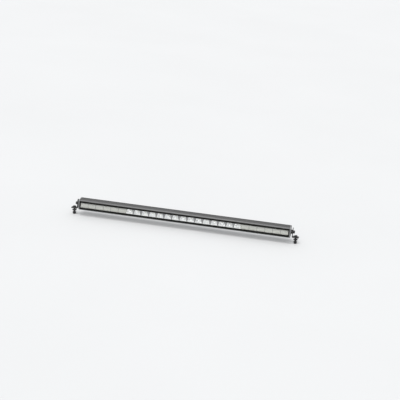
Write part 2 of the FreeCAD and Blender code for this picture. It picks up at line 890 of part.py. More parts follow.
def cable_gland_nut():
    """The dome nut that squeezes the seal round a cable."""
    outer = rod_y(gland_nut_radius, gland_nut_start, gland_nut_end, gland_x)
    rim = [edge for edge in outer.Edges if edge.BoundBox.YMin > gland_nut_end - 0.01]
    outer = outer.makeFillet(2.5, rim)
    collar_room = gland_collar_end + fit_clearance
    seal_end = gland_seal_start + gland_seal_length
    thread = rod_y(gland_collar_radius + thread_clearance, gland_nut_start - 1, collar_room, gland_x)
    seal_room = rod_y(gland_seal_radius + fit_clearance, gland_nut_start, seal_end, gland_x)
    mouth = rod_y(gland_bore, gland_nut_start, gland_nut_end + 1, gland_x)
    return outer.cut([thread, seal_room, mouth])


def breather_vent():
    """A pressure vent plug: a stem through the back wall under a slotted round cap."""
    stem = rod_y(vent_stem_radius, driver_back - 1.0, fin_root, vent_x)
    head = rod_y(vent_head_radius, fin_root, fin_root + vent_head_height, vent_x)
    rim = [edge for edge in head.Edges if edge.BoundBox.YMin > fin_root + vent_head_height - 0.01]
    head = head.makeFillet(1.0, rim)
    bore = rod_y(vent_bore, driver_back - 2, fin_root + vent_head_height - 1, vent_x)
    slots = [
        slab(
            (vent_x - vent_head_radius - 1, vent_x + vent_head_radius + 1),
            (fin_root + 0.8, fin_root + 1.6),
            (-0.6, 0.6),
        ),
        slab((vent_x - 0.6, vent_x + 0.6), (fin_root + 0.8, fin_root + 1.6),
             (-vent_head_radius - 1, vent_head_radius + 1)),
    ]
    return stem.fuse(head).cut([bore] + slots)


# ---- write the nodes -----------------------------------------------------------------------------
flood_middle = spot_half_length + flood_length / 2
groups = (
    ("left", flood_cells, -flood_middle, flood_front),
    ("centre", spot_cells, 0.0, reflector_front),
    ("right", flood_cells, flood_middle, flood_front),
)

on_bar = {
    "housing_extrusion": housing_extrusion(),
    "front_bezel": front_bezel(),
    "outer_lens": outer_lens(),
    "lens_seal_strips": lens_seal_strips(),
    "diffuser_left": diffuser(-flood_middle),
    "diffuser_right": diffuser(flood_middle),
    "board_screws": board_screws(),
    "driver_board": driver_board(),
    "driver_inductors": driver_inductors(),
    "driver_capacitors": driver_capacitors(),
    "driver_chips": driver_chips(),
    "driver_terminal": driver_terminal(),
    "wire_positive": jumper_wire(1),
    "wire_negative": jumper_wire(-1),
    "web_grommet": web_grommet(),
    "cable_gland_body": cable_gland_body(),
    "cable_gland_seal": cable_gland_seal(),
    "cable_gland_nut": cable_gland_nut(),
    "breather_vent": breather_vent(),
}
for group, count, middle, front in groups:
    on_bar[f"reflector_{group}"] = reflector(count, middle, front)
    on_bar[f"led_board_{group}"] = led_board(count, middle)
    on_bar[f"thermal_pad_{group}"] = thermal_pad(count, middle)
    on_bar[f"leds_{group}"] = leds(count, middle)

bar_ends = {
    "end_cap": end_cap(),
    "end_gasket": end_gasket(),
    "cap_screws": cap_screws(),
    "pivot_insert": pivot_insert(),
    "friction_washer": friction_washer(),
    "pivot_washer": pivot_washer(),
    "pivot_spring_washer": pivot_spring_washer(),
    "pivot_bolt": pivot_bolt(),
}
bracket_ends = {
    "bracket": bracket(),
    "foot_bolt": foot_bolt(),
    "foot_washers": foot_washers(),
    "foot_rubber_washer": foot_rubber_washer(),
    "foot_spring_washer": foot_spring_washer(),
    "foot_nut": foot_nut(),
}

nodes = {}
for name, shape in on_bar.items():
    nodes[name] = moved(shape, z=pivot_height)
for name, shape in bar_ends.items():
    nodes[f"{name}_right"] = moved(shape, z=pivot_height)
    nodes[f"{name}_left"] = moved(mirrored(shape), z=pivot_height)
for name, shape in bracket_ends.items():
    nodes[f"{name}_right"] = shape
    nodes[f"{name}_left"] = mirrored(shape)

os.makedirs("parts", exist_ok=True)
for name, shape in nodes.items():
    shape.exportStep(f"parts/{name}.step")
    box = shape.BoundBox
    print(f"{name}: {len(shape.Solids)} solids, {shape.Volume / 1000:.2f} cm3, "
          f"x {box.XMin:.1f}..{box.XMax:.1f}, y {box.YMin:.1f}..{box.YMax:.1f}, "
          f"z {box.ZMin:.1f}..{box.ZMax:.1f}, valid {shape.isValid()}")
print(f"{len(nodes)} nodes")
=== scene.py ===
# %% [markdown]
# # A slim light bar for a truck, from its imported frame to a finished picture
#
# The bar is an aluminium extrusion with one row of reflector cups behind a clear lens. It hangs
# between two bent steel brackets and tilts on the bolts at its ends. The exact shapes come from a
# packed engineering model, which stays fixed here. What this lesson adds is what that model can't
# carry: optics with smooth curves, screw threads, fluted covers, and a finish for every surface.

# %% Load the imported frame
import json
import math

import bmesh
import bpy
from mathutils import Matrix, Vector


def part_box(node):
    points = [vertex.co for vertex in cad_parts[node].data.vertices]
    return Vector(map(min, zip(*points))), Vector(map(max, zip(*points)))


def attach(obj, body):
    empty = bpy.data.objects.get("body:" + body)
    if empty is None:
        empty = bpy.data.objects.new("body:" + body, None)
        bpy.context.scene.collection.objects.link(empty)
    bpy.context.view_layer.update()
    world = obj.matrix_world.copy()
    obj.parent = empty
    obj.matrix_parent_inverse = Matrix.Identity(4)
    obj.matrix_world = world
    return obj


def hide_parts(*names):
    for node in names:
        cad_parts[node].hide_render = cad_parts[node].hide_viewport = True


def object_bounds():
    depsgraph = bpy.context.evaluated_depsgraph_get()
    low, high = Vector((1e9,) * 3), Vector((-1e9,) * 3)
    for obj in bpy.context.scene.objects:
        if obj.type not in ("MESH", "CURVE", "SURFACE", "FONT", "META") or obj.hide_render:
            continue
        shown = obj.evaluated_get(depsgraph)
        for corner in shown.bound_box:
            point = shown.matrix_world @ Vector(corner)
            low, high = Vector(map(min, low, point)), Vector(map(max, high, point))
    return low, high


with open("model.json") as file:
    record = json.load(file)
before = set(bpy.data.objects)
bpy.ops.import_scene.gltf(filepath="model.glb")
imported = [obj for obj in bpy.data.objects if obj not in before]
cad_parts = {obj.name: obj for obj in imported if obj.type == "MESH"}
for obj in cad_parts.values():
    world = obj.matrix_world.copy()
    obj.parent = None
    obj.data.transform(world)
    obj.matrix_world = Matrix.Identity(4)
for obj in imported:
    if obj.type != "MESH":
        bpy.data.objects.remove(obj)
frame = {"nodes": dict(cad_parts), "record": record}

MM = 0.001
WELD = 0.001 * MM  # corners closer than this are one corner
NEAR = 0.01 * MM  # a corner closer than this to a plane lies on it
nodes = frame["nodes"]
scene = bpy.context.scene
cad_low, cad_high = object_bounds()
print(f"{len(nodes)} nodes, {[round(v / MM, 1) for v in cad_high - cad_low]} mm overall")

# %% [markdown]
# ## Camera
#
# The bar is long and thin, so a long lens keeps its two ends nearly the same size. The camera
# stands a little to the right of the middle and looks down about 18 degrees. It is also rolled
# about its own axis, which makes the bar run downhill. The matrix is built from three directions,
# because a roll is awkward to add to a Track To constraint.

# %% Camera
camera_azimuth = math.radians(8.37)
camera_elevation = math.radians(18.03)
camera_roll = math.radians(4.9)
camera_distance = 4.896
camera_target = Vector((0.0704, 0.0018, 0.1221))
lens_in_mm, film_width_in_mm = 92.6, 36.0
farthest_seen = 200.0


def direction(azimuth, elevation):
    """A unit vector towards somebody at this azimuth, from straight ahead, and elevation."""
    level = math.cos(elevation)
    return Vector((math.sin(azimuth) * level, -math.cos(azimuth) * level, math.sin(elevation)))


back = direction(camera_azimuth, camera_elevation)
level_right = (-back).cross(Vector((0, 0, 1))).normalized()
level_up = level_right.cross(-back)
right = level_right * math.cos(camera_roll) + level_up * math.sin(camera_roll)
up = level_up * math.cos(camera_roll) - level_right * math.sin(camera_roll)
placing = Matrix((right, up, back)).transposed().to_4x4()
placing.translation = camera_target + back * camera_distance

camera = bpy.data.objects.new("camera", bpy.data.cameras.new("camera"))
camera.data.sensor_width = film_width_in_mm
camera.data.lens = lens_in_mm
camera.data.clip_end = farthest_seen
camera.matrix_world = placing
scene.collection.objects.link(camera)
scene.camera = camera
scene.view_settings.view_transform = "Standard"
print("camera at", [round(v, 3) for v in placing.translation])

# %% [markdown]
# ## Light
#
# A satin metal edge looks bright only where it mirrors a lamp. The housing's front chamfer faces
# up and forward at 45 degrees, so the main lamp stands where that chamfer sends the camera's line
# of sight: high up, a little in front and to the left. Sun lamps with a wide angle act as soft
# boxes that are very far away, so the floor is lit evenly. A second one, wider and lower, shines
# into the cups.

# %% Lamps
def far_softbox(name, azimuth, elevation, width, strength):
    """A sun lamp whose disc is `width` degrees across, shining from a direction."""
    lamp = bpy.data.lights.new(name, "SUN")
    lamp.angle = math.radians(width)
    lamp.energy = strength
    holder = bpy.data.objects.new(name, lamp)
    towards = direction(math.radians(azimuth), math.radians(elevation))
    holder.matrix_world = towards.to_track_quat("Z", "Y").to_matrix().to_4x4()
    scene.collection.objects.link(holder)


far_softbox("key_softbox", azimuth=-24.0, elevation=70.0, width=24.0, strength=1.5)
far_softbox("front_softbox", azimuth=0.0, elevation=42.0, width=36.0, strength=1.68)
print("two soft boxes")

# %% [markdown]
# ## Helpers for materials
#
# Every finish below is one Principled BSDF fed by a few node groups. The groups put out only
# masks, values and normals. These helpers keep the wiring readable: make a material, place a
# group in it, mix two colours by a mask, turn a mask into a range of numbers, join colour and
# roughness to the shader, and raise the surface.

# %% Material helpers
def material(name, **values):
    """A new material, its node tree and its Principled BSDF, with values set on the sockets."""
    made = bpy.data.materials.new(name)
    made.use_nodes = True
    tree = made.node_tree
    shader = tree.nodes["Principled BSDF"]
    for socket, value in values.items():
        shader.inputs[socket.replace("_", " ")].default_value = value
    return made, tree, shader


def place(tree, group, **values):
    """Puts a node group in a tree, with its own values."""
    node = tree.nodes.new("ShaderNodeGroup")
    node.node_tree = group
    for socket, value in values.items():
        node.inputs[socket.replace("_", " ")].default_value = value
    return node


def mix_colour(tree, mask, low, high):
    """low where the mask is 0 and high where it is 1; each is a colour or another output."""
    node = tree.nodes.new("ShaderNodeMix")
    node.data_type = "RGBA"
    tree.links.new(mask, node.inputs[0])
    for socket, value in ((node.inputs[6], low), (node.inputs[7], high)):
        if isinstance(value, bpy.types.NodeSocket):
            tree.links.new(value, socket)
        else:
            socket.default_value = (*value, 1.0)
    return node.outputs[2]


def spread(tree, mask, low, high):
    """Stretches a mask's values from 0..1 to low..high."""
    node = tree.nodes.new("ShaderNodeMapRange")
    tree.links.new(mask, node.inputs["Value"])
    node.inputs["To Min"].default_value = low
    node.inputs["To Max"].default_value = high
    return node.outputs["Result"]


def feed(tree, shader, colour, mask, rough):
    """Joins a colour output to the shader, and its roughness to a mask spread over a range."""
    tree.links.new(colour, shader.inputs["Base Color"])
    tree.links.new(spread(tree, mask, *rough), shader.inputs["Roughness"])


def raise_surface(tree, shader, height, depth, strength=1.0, normal=None):
    """A Bump node of a given depth in metres between a height pattern and the shader."""
    bump = tree.nodes.new("ShaderNodeBump")
    bump.inputs["Strength"].default_value = strength
    bump.inputs["Distance"].default_value = depth
    tree.links.new(height, bump.inputs["Height"])
    if normal:
        tree.links.new(normal, bump.inputs["Normal"])
    tree.links.new(bump.outputs["Normal"], shader.inputs["Normal"])


print("helpers ready")

# %% Helper for node groups
def new_group(name, inputs, outputs):
    """An empty shader group with named float inputs and outputs, and a short way to add nodes."""
    group = bpy.data.node_groups.new(name, "ShaderNodeTree")
    for label, value in inputs:
        socket = group.interface.new_socket(label, in_out="INPUT", socket_type="NodeSocketFloat")
        socket.default_value = value
    for label, kind in outputs:
        group.interface.new_socket(label, in_out="OUTPUT", socket_type=kind)
    entry = group.nodes.new("NodeGroupInput")
    leave = group.nodes.new("NodeGroupOutput")
    return group, entry, leave


def group_node(group, kind, links=(), values=(), **settings):
    """A node in a group or a tree. Links are pairs of an output and an input, values are pairs of
    an input and its number or colour, and settings are the node's own properties."""
    node = group.nodes.new(kind)
    for key, value in settings.items():
        setattr(node, key, value)
    for source, label in links:
        group.links.new(source, node.inputs[label])
    for label, value in values:
        node.inputs[label].default_value = value
    return node


FLOAT, VECTOR = "NodeSocketFloat", "NodeSocketVector"
print("group helper ready")

# %% [markdown]
# ## World
#
# The world lights the object gently from all round, and seen directly or in a reflection it shows
# a pale backdrop. Light Path tells the two apart.

# %% World
world = bpy.data.worlds.new("studio")
scene.world = world
world.use_nodes = True
tree = world.node_tree
tree.nodes.clear()
ambient = group_node(tree, "ShaderNodeBackground", (),
                     [("Color", (0.96, 0.98, 1.0, 1.0)), ("Strength", 1.0)])
backdrop = group_node(tree, "ShaderNodeBackground", (),
                      [("Color", (1.0, 1.0, 1.0, 1.0)), ("Strength", 0.86)])
path = group_node(tree, "ShaderNodeLightPath")
mirrored = group_node(tree, "ShaderNodeMath",
                      [(path.outputs["Is Camera Ray"], 0), (path.outputs["Is Glossy Ray"], 1)],
                      operation="ADD")
seen = group_node(tree, "ShaderNodeMath",
                  [(mirrored.outputs[0], 0), (path.outputs["Is Transmission Ray"], 1)],
                  operation="ADD", use_clamp=True)
choose = group_node(tree, "ShaderNodeMixShader", [
    (seen.outputs[0], 0), (ambient.outputs[0], 1), (backdrop.outputs[0], 2)])
group_node(tree, "ShaderNodeOutputWorld", [(choose.outputs[0], "Surface")])
print("world ready")

# %% [markdown]
# ## Shared effect: worn, rounded edges
#
# No real edge is perfectly sharp. The Bevel node looks a short way round each point and returns a
# normal that is smoothed over edges. Comparing it with the true normal also finds the edges, and
# there a coat is rubbed thin. Noise breaks the rubbed line up, so that it doesn't look drawn on.

# %% Edge wear group
edge_wear, entry, leave = new_group(
    "edge_wear", (("Radius", 0.0004), ("Breakup", 300.0)), (("Normal", VECTOR), ("Mask", FLOAT)))
rounded = group_node(edge_wear, "ShaderNodeBevel", [(entry.outputs["Radius"], "Radius")], samples=4)
flat = group_node(edge_wear, "ShaderNodeNewGeometry")
angle = group_node(edge_wear, "ShaderNodeVectorMath",
                   [(rounded.outputs["Normal"], 0), (flat.outputs["Normal"], 1)],
                   operation="DOT_PRODUCT")
turned = group_node(edge_wear, "ShaderNodeMapRange", [(angle.outputs["Value"], "Value")],
                    [("From Min", 0.995), ("From Max", 0.85)])
where = group_node(edge_wear, "ShaderNodeTexCoord")
broken = group_node(edge_wear, "ShaderNodeTexNoise",
                    [(where.outputs["Object"], "Vector"), (entry.outputs["Breakup"], "Scale")],
                    [("Detail", 3.0)])
rubbed = group_node(edge_wear, "ShaderNodeMath",
                    [(turned.outputs["Result"], 0), (broken.outputs["Fac"], 1)],
                    operation="MULTIPLY", use_clamp=True)
edge_wear.links.new(rounded.outputs["Normal"], leave.inputs["Normal"])
edge_wear.links.new(rubbed.outputs[0], leave.inputs["Mask"])
print("edge_wear")

# %% [markdown]
# ## Shared effect: grain
#
# Powder coat, cast metal and rubber all have a fine irregular surface and slow, faint changes of
# tone. Two noises at different scales give both: one for the height, one for the mottling.

# %% Grain group
grain, entry, leave = new_group(
    "grain", (("Scale", 2000.0), ("Mottle Scale", 60.0)), (("Height", FLOAT), ("Mottle", FLOAT)))
where = group_node(grain, "ShaderNodeTexCoord")
fine = group_node(grain, "ShaderNodeTexNoise",
                  [(where.outputs["Object"], "Vector"), (entry.outputs["Scale"], "Scale")],
                  [("Detail", 2.0)])
slow = group_node(grain, "ShaderNodeTexNoise",
                  [(where.outputs["Object"], "Vector"), (entry.outputs["Mottle Scale"], "Scale")],
                  [("Detail", 5.0)])
grain.links.new(fine.outputs["Fac"], leave.inputs["Height"])
grain.links.new(slow.outputs["Fac"], leave.inputs["Mottle"])
print("grain")

# %% [markdown]
# ## Shared effect: drawn lines
#
# Aluminium pushed through a die keeps hair-fine lines along its length, and brushing leaves
# similar ones. Noise squeezed across the length and stretched along it gives them.

# %% Drawn lines group
drawn_lines, entry, leave = new_group(
    "drawn_lines", (("Across", 900.0), ("Along", 3.0)), (("Height", FLOAT), ("Streak", FLOAT)))
where = group_node(drawn_lines, "ShaderNodeTexCoord")
sizes = group_node(drawn_lines, "ShaderNodeCombineXYZ", [
    (entry.outputs["Along"], "X"), (entry.outputs["Across"], "Y"), (entry.outputs["Across"], "Z")])
stretched = group_node(drawn_lines, "ShaderNodeVectorMath",
                       [(where.outputs["Object"], 0), (sizes.outputs["Vector"], 1)],
                       operation="MULTIPLY")
line_noise = group_node(drawn_lines, "ShaderNodeTexNoise", [(stretched.outputs[0], "Vector")],
                        [("Scale", 1.0), ("Detail", 4.0)])
softer = group_node(drawn_lines, "ShaderNodeMapRange", [(line_noise.outputs["Fac"], "Value")],
                    [("From Min", 0.3), ("From Max", 0.7)])
drawn_lines.links.new(line_noise.outputs["Fac"], leave.inputs["Height"])
drawn_lines.links.new(softer.outputs["Result"], leave.inputs["Streak"])
print("drawn_lines")

# %% [markdown]
# ## Shared effect: moulded pebble
#
# Moulded black plastic is often given a leather-like pebble by the etched mould, so that it looks
# matt and hides scratches. Voronoi cells with soft borders are close to it.

# %% Pebble group
pebble, entry, leave = new_group(
    "pebble", (("Scale", 1500.0),), (("Height", FLOAT), ("Mottle", FLOAT)))
where = group_node(pebble, "ShaderNodeTexCoord")
cells = group_node(pebble, "ShaderNodeTexVoronoi",
                   [(where.outputs["Object"], "Vector"), (entry.outputs["Scale"], "Scale")],
                   feature="SMOOTH_F1")
cloudy = group_node(pebble, "ShaderNodeTexNoise", [(where.outputs["Object"], "Vector")],
                    [("Scale", 90.0), ("Detail", 4.0)])
pebble.links.new(cells.outputs["Distance"], leave.inputs["Height"])
pebble.links.new(cloudy.outputs["Fac"], leave.inputs["Mottle"])
print("pebble")

# %% [markdown]
# ## Shared effect: dust and painted sheen
#
# A little dust settles on faces that look upwards. The same mask also paints light: on the black
# housing it makes the upward faces a little lighter, as if lit from above. The object's own normal
# is used, so the dust and the painted sheen stay on the same faces when the bar is tilted.

# %% Dust and painted sheen group
dust_and_sheen, entry, leave = new_group("dust_and_sheen", (("Amount", 0.3), ("Scale", 45.0)), (("Mask", FLOAT),))
where = group_node(dust_and_sheen, "ShaderNodeTexCoord")
parts = group_node(dust_and_sheen, "ShaderNodeSeparateXYZ", [(where.outputs["Normal"], "Vector")])
facing = group_node(dust_and_sheen, "ShaderNodeMapRange", [(parts.outputs["Z"], "Value")],
                    [("From Min", 0.35)])
patches = group_node(dust_and_sheen, "ShaderNodeTexNoise",
                     [(where.outputs["Object"], "Vector"), (entry.outputs["Scale"], "Scale")],
                     [("Detail", 6.0), ("Roughness", 0.65)])
settled = group_node(dust_and_sheen, "ShaderNodeMath",
                     [(facing.outputs["Result"], 0), (patches.outputs["Fac"], 1)],
                     operation="MULTIPLY")
scaled = group_node(dust_and_sheen, "ShaderNodeMath",
                    [(settled.outputs[0], 0), (entry.outputs["Amount"], 1)],
                    operation="MULTIPLY", use_clamp=True)
dust_and_sheen.links.new(scaled.outputs[0], leave.inputs["Mask"])
print("dust_and_sheen")

# %% [markdown]
# ## Shared effect: circuit tracks
#
# Copper tracks under the coloured lacquer of a circuit board show as slightly raised, lighter
# bands. A brick pattern turned into the board's plane is enough for boards that sit deep inside.

# %% Tracks group
tracks, entry, leave = new_group("tracks", (("Width", 0.004),), (("Mask", FLOAT), ("Gap", FLOAT)))
where = group_node(tracks, "ShaderNodeTexCoord")
axes = group_node(tracks, "ShaderNodeSeparateXYZ", [(where.outputs["Object"], "Vector")])
laid = group_node(tracks, "ShaderNodeCombineXYZ",
                  [(axes.outputs["X"], "X"), (axes.outputs["Z"], "Y")])
bricks = group_node(
    tracks, "ShaderNodeTexBrick",
    [(laid.outputs["Vector"], "Vector"), (entry.outputs["Width"], "Row Height")],
    [("Scale", 1.0), ("Brick Width", 0.019), ("Mortar Size", 0.0003), ("Mortar Smooth", 0.1),
     ("Color1", (1, 1, 1, 1)), ("Color2", (0.3, 0.3, 0.3, 1)), ("Mortar", (0, 0, 0, 1))],
    offset=0.37)
tracks.links.new(bricks.outputs["Color"], leave.inputs["Mask"])
tracks.links.new(bricks.outputs["Fac"], leave.inputs["Gap"])
print("tracks")

# %% [markdown]
# ## Coats and bare metals
#
# Most finishes here share one recipe: a base colour that wanders a little with the mottling, a
# lighter or darker tone where edges are rubbed, dust on top, which on the housing is also painted
# sheen, roughness that follows the mottling, and a bump for the texture. One function wires the
# recipe, and each finish gives its own numbers and its own texture group.

# %% The common recipe
dust_and_sheen_colour = (0.30, 0.28, 0.25)


def coated(name, texture, colour, paler, worn, rough, depth, edge=0.0004, dust_and_sheen_amount=0.0,
           tone="Mottle", scales=None, wear=0.5, **values):
    """A finish with mottling, rubbed edges, dust and painted sheen, and a texture bump.

    colour and paler end the mottling, worn is a rubbed edge's tone and rough the range of
    roughness. depth is the bump's and edge the rounding's, in metres.
    """
    made, tree, shader = material(name, **values)
    pattern = place(tree, texture, **(scales or {}))
    edges = place(tree, edge_wear, Radius=edge)
    toned = mix_colour(tree, pattern.outputs[tone], colour, paler)
    thin = spread(tree, edges.outputs["Mask"], 0.0, wear)
    toned = mix_colour(tree, thin, toned, worn)
    # The dust mask lightens upward faces: dust, and on the housing also painted sheen.
    if dust_and_sheen_amount:
        dust_and_sheen_node = place(tree, dust_and_sheen, Amount=dust_and_sheen_amount)
        toned = mix_colour(tree, dust_and_sheen_node.outputs["Mask"], toned, dust_and_sheen_colour)
    feed(tree, shader, toned, pattern.outputs[tone], rough)
    raise_surface(tree, shader, pattern.outputs["Height"], depth, 1.0, edges.outputs["Normal"])
    return made


finishes = {}
print("recipe ready")

# %% [markdown]
# The extrusion is anodised black: a satin that is mostly pigment and a little mirror, with the
# die's lines showing along it. Its upward faces get a little painted sheen from the dust mask. The
# cast end caps carry a lighter grey coat with an even grain.

# %% Housing and cap finishes
# Painted sheen: the housing's dust mask makes its upward faces a little lighter, as if lit from
# above.
finishes["housing_coat"] = coated(
    "anodised_extrusion", drawn_lines, (0.012, 0.012, 0.013), (0.019, 0.019, 0.020),
    (0.12, 0.12, 0.12), (0.35, 0.41), 0.00001, edge=0.0005, dust_and_sheen_amount=0.02, tone="Streak",
    scales={"Across": 2500.0, "Along": 6.0}, Specular_IOR_Level=0.58, Metallic=0.15)
finishes["cap_coat"] = coated(
    "cast_cap_coat", grain, (0.130, 0.130, 0.132), (0.160, 0.160, 0.163),
    (0.26, 0.26, 0.26), (0.36, 0.48), 0.00004, edge=0.0006, dust_and_sheen_amount=0.06,
    scales={"Scale": 1400.0}, Specular_IOR_Level=0.45, Metallic=0.2)
print("housing_coat, cap_coat")

# %% [markdown]
# Each cap ends in a round hub that carries the bracket. The hub is darkened with painted shade,
# for the shade that falls on it between the cap and the bracket: past the plane where it starts, a
# mask from the part's own X coordinate turns the coat dark.

# %% Hubs darkened with painted shade
hub_length = 5.4 * MM
hub_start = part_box("end_cap_right")[1].x - hub_length
# Painted shade: near black for the shade between the cap and the bracket.
hub_painted_shade = (0.015, 0.015, 0.015)
tree = finishes["cap_coat"].node_tree
where = group_node(tree, "ShaderNodeTexCoord")
split = group_node(tree, "ShaderNodeSeparateXYZ", [(where.outputs["Object"], "Vector")])
outward = group_node(tree, "ShaderNodeMath", [(split.outputs["X"], 0)], operation="ABSOLUTE")
past = group_node(tree, "ShaderNodeMath", [(outward.outputs[0], 0)], [(1, hub_start)],
                  operation="GREATER_THAN")
base = tree.nodes["Principled BSDF"].inputs["Base Color"]
coat = base.links[0].from_socket
tree.links.new(mix_colour(tree, past.outputs[0], coat, hub_painted_shade), base)
print("hubs dark past x =", round(hub_start / MM, 2), "mm")

# %% [markdown]
# The bezel is black moulded plastic with a pebble. It throws back very little light, so its
# specular level is low. The nylon washers, the cable gland and the vent are the same family.

# %% Black plastics
finishes["bezel_plastic"] = coated(
    "bezel_black_plastic", pebble, (0.0050, 0.0050, 0.0042), (0.0080, 0.0080, 0.0070),
    (0.020, 0.020, 0.018), (0.55, 0.68), 0.00002, edge=0.0003, dust_and_sheen_amount=0.02,
    scales={"Scale": 1800.0}, Specular_IOR_Level=0.08)
finishes["nylon_black"] = coated(
    "nylon_washer_black", grain, (0.014, 0.014, 0.014), (0.022, 0.022, 0.021),
    (0.04, 0.04, 0.04), (0.45, 0.60), 0.00002, edge=0.0002, wear=0.4,
    Specular_IOR_Level=0.35)
finishes["gland_nylon"] = coated(
    "gland_glass_filled_nylon", pebble, (0.012, 0.012, 0.012), (0.020, 0.020, 0.019),
    (0.05, 0.05, 0.05), (0.42, 0.58), 0.00003, edge=0.0004, dust_and_sheen_amount=0.08,
    scales={"Scale": 2400.0}, Specular_IOR_Level=0.35)
print("bezel_plastic, nylon_black, gland_nylon")

# %% [markdown]
# The brackets are powder coated, which leaves a soft orange peel. The bolts, nuts and washers are
# steel with a black plated skin, thinner and smoother, that shows grey steel on rubbed corners.

# %% Bracket and bolt finishes
finishes["bracket_coat"] = coated(
    "bracket_powder_coat", grain, (0.016, 0.016, 0.017), (0.028, 0.028, 0.029),
    (0.10, 0.10, 0.10), (0.38, 0.55), 0.00008, edge=0.0005, dust_and_sheen_amount=0.10,
    scales={"Scale": 900.0, "Mottle Scale": 120.0}, Specular_IOR_Level=0.4)
finishes["bolt_black"] = coated(
    "bolt_black_plating", grain, (0.012, 0.012, 0.013), (0.026, 0.026, 0.027),
    (0.16, 0.16, 0.165), (0.32, 0.50), 0.00002, edge=0.0003, dust_and_sheen_amount=0.05,
    scales={"Scale": 2600.0, "Mottle Scale": 260.0}, wear=0.6,
    Metallic=0.35, Specular_IOR_Level=0.4)
print("bracket_coat, bolt_black")

# %% Rubber finishes
finishes["seal_rubber"] = coated(
    "seal_black_rubber", grain, (0.013, 0.013, 0.013), (0.024, 0.024, 0.024),
    (0.045, 0.045, 0.045), (0.68, 0.88), 0.00004, edge=0.0004, dust_and_sheen_amount=0.12,
    scales={"Scale": 1600.0, "Mottle Scale": 200.0}, Specular_IOR_Level=0.25)
finishes["thermal_pad"] = coated(
    "thermal_pad_gap_filler", grain, (0.36, 0.45, 0.54), (0.44, 0.53, 0.62),
    (0.50, 0.58, 0.66), (0.75, 0.90), 0.00006, edge=0.0002,
    scales={"Scale": 3000.0, "Mottle Scale": 500.0}, wear=0.3,
    Specular_IOR_Level=0.2)
print("seal_rubber, thermal_pad")

# %% [markdown]
# The small screws are zinc plated, the pivot sleeves are plain turned steel, and the capacitors
# are bare aluminium cans. All three are true metals: Metallic is 1, and the colour is the tint of
# their reflection.

# %% Bare metals
finishes["screw_steel"] = coated(
    "screw_zinc_plate", grain, (0.52, 0.53, 0.55), (0.60, 0.60, 0.61),
    (0.72, 0.72, 0.72), (0.24, 0.40), 0.00001, edge=0.0002,
    scales={"Scale": 4000.0, "Mottle Scale": 700.0}, wear=0.6, Metallic=1.0)
finishes["insert_steel"] = coated(
    "pivot_sleeve_steel", drawn_lines, (0.42, 0.41, 0.39), (0.50, 0.49, 0.46),
    (0.62, 0.61, 0.60), (0.28, 0.44), 0.00001, edge=0.0002, tone="Streak",
    scales={"Across": 2500.0, "Along": 2500.0}, wear=0.6, Metallic=1.0)
finishes["capacitor_can"] = coated(
    "capacitor_aluminium", drawn_lines, (0.62, 0.62, 0.64), (0.72, 0.72, 0.74),
    (0.80, 0.80, 0.82), (0.26, 0.38), 0.00001, edge=0.0003, tone="Streak",
    scales={"Across": 1800.0, "Along": 600.0}, Metallic=1.0)
print("screw_steel, insert_steel, capacitor_can")

# %% [markdown]
# Inside the bar sits the driver: a green board with ferrite coils, black chips, a green terminal
# and two silicone wires. They are only seen when the bar is taken apart, but each still gets its
# own surface.

# %% Driver parts
finishes["ferrite"] = coated(
    "inductor_ferrite", grain, (0.060, 0.060, 0.064), (0.100, 0.100, 0.105),
    (0.16, 0.16, 0.165), (0.55, 0.75), 0.00005, edge=0.0003,
    scales={"Scale": 2200.0, "Mottle Scale": 300.0}, wear=0.6,
    Specular_IOR_Level=0.4)
finishes["chip_epoxy"] = coated(
    "chip_black_epoxy", pebble, (0.016, 0.016, 0.017), (0.026, 0.026, 0.027),
    (0.05, 0.05, 0.05), (0.45, 0.60), 0.00002, edge=0.0001,
    scales={"Scale": 5000.0}, wear=0.4, Specular_IOR_Level=0.4)
finishes["terminal_plastic"] = coated(
    "terminal_green_plastic", grain, (0.030, 0.170, 0.060), (0.045, 0.220, 0.085),
    (0.10, 0.32, 0.15), (0.30, 0.42), 0.00001, edge=0.0002,
    scales={"Scale": 1800.0, "Mottle Scale": 150.0}, wear=0.4)
for slot_name, dark, light in (
    ("wire_red", (0.42, 0.014, 0.012), (0.52, 0.022, 0.018)),
    ("wire_black", (0.014, 0.014, 0.014), (0.022, 0.022, 0.022)),
):
    finishes[slot_name] = coated(
        slot_name + "_silicone", grain, dark, light, light, (0.38, 0.50), 0.00001, edge=0.0001,
        scales={"Scale": 2500.0, "Mottle Scale": 400.0}, wear=0.2)
print("ferrite, chip_epoxy, terminal_plastic, wires")

# %% Circuit boards
def lacquered_board(name, colour, copper_tone, gap_tone, rough):
    """Solder lacquer over copper: bands of two tones, raised a little, with darker gaps."""
    made, tree, shader = material(name)
    pattern = place(tree, tracks)
    flecks = place(tree, grain, Scale=3000.0, Mottle_Scale=150.0)
    edges = place(tree, edge_wear, Radius=0.0002)
    toned = mix_colour(tree, pattern.outputs["Mask"], colour, copper_tone)
    toned = mix_colour(tree, pattern.outputs["Gap"], toned, gap_tone)
    feed(tree, shader, toned, flecks.outputs["Mottle"], rough)
    raise_surface(tree, shader, pattern.outputs["Mask"], 0.00003, 0.6, edges.outputs["Normal"])
    return made


finishes["driver_mask"] = lacquered_board(
    "driver_board_green", (0.010, 0.085, 0.030), (0.020, 0.140, 0.052), (0.008, 0.060, 0.022),
    (0.22, 0.36))
finishes["board_mask"] = lacquered_board(
    "led_board_white", (0.86, 0.86, 0.84), (0.90, 0.90, 0.88), (0.74, 0.74, 0.71), (0.30, 0.45))
print("driver_mask, board_mask")

# %% [markdown]
# ## The clear lens
#
# The lens is a 3 mm sheet of polycarbonate with a hard coat. A Principled BSDF with full
# transmission bends and mirrors light as the real sheet does. Light that reaches the cups through
# a refracting sheet is slow to find, so shadow and diffuse rays pass straight through instead.

